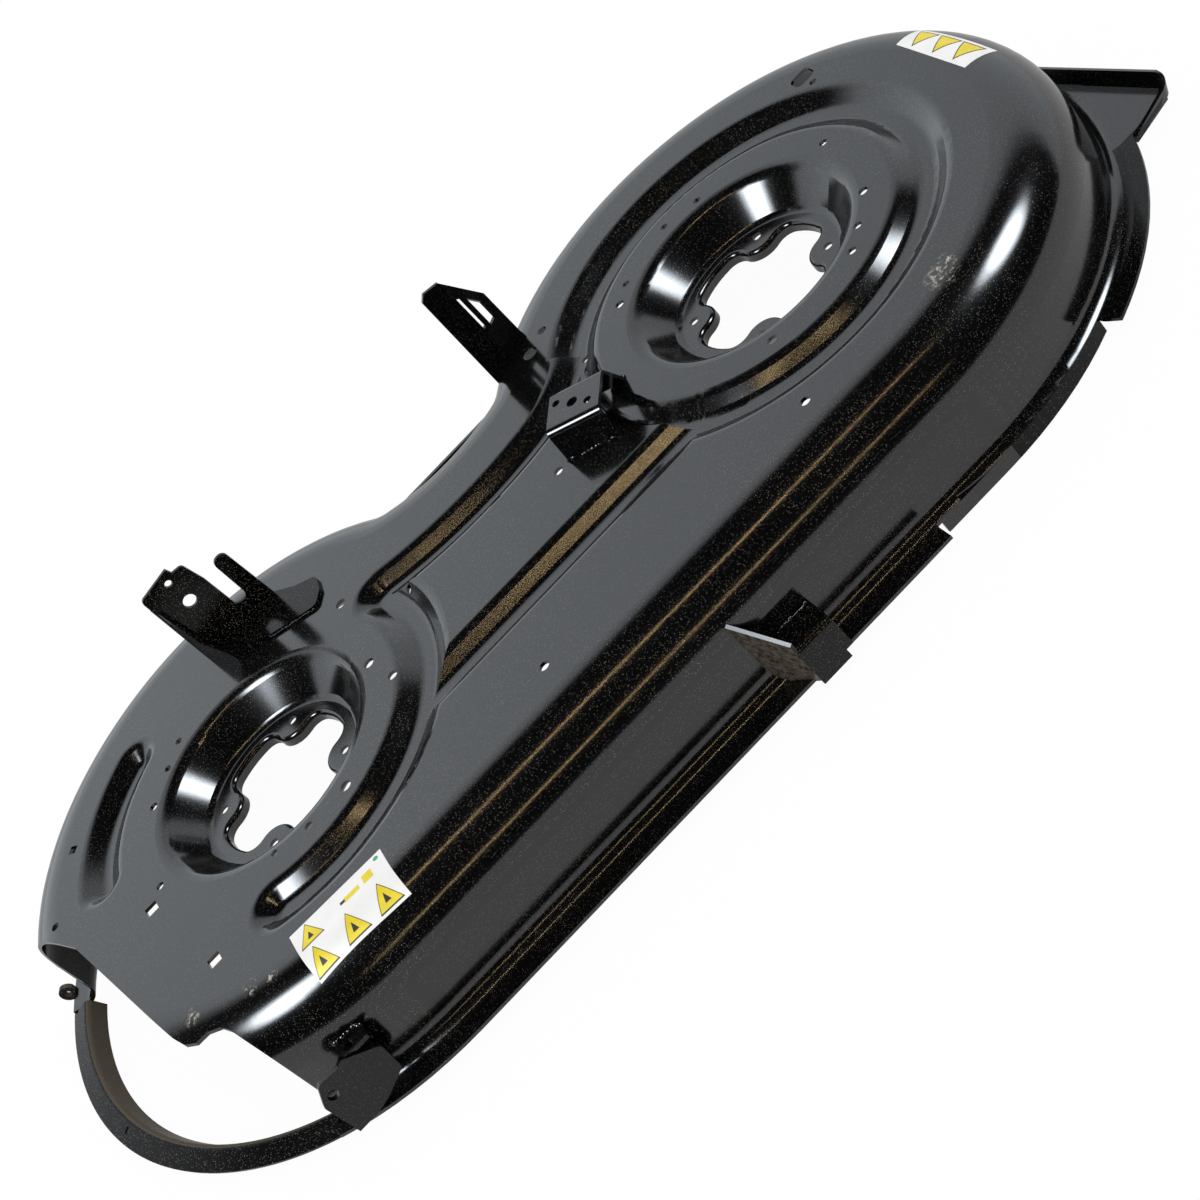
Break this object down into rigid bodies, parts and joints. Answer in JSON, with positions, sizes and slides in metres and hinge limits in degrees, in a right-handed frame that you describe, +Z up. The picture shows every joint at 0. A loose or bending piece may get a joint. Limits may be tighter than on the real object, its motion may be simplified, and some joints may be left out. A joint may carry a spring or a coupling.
{
  "type": "lawn mower deck",
  "caption": "Twin-spindle side-discharge mower deck shell, black stamped sheet with sunk grooves, two spindle recesses, hoop and brackets",
  "frame": {"origin": "middle of the bolt circle of the spindle beside the discharge opening, on the top of its recess floor", "axes": "+X from that spindle to the other one, +Y to the rear with the waist, +Z up"},
  "size_m": [1.0493, 0.5418, 0.1901],
  "materials": {
    "black_paint": "gloss",
    "label": "satin"
  },
  "bodies": {
    "root": {"deck_shell": "black_paint", "discharge_hoop": "black_paint", "hoop_eye": "black_paint", "hinge_plate": "black_paint", "front_hanger": "black_paint", "centre_bracket": "black_paint", "rear_right_bracket": "black_paint", "rear_left_hanger": "black_paint", "label_a": "label", "label_b": "label"}
  },
  "joints": []
}
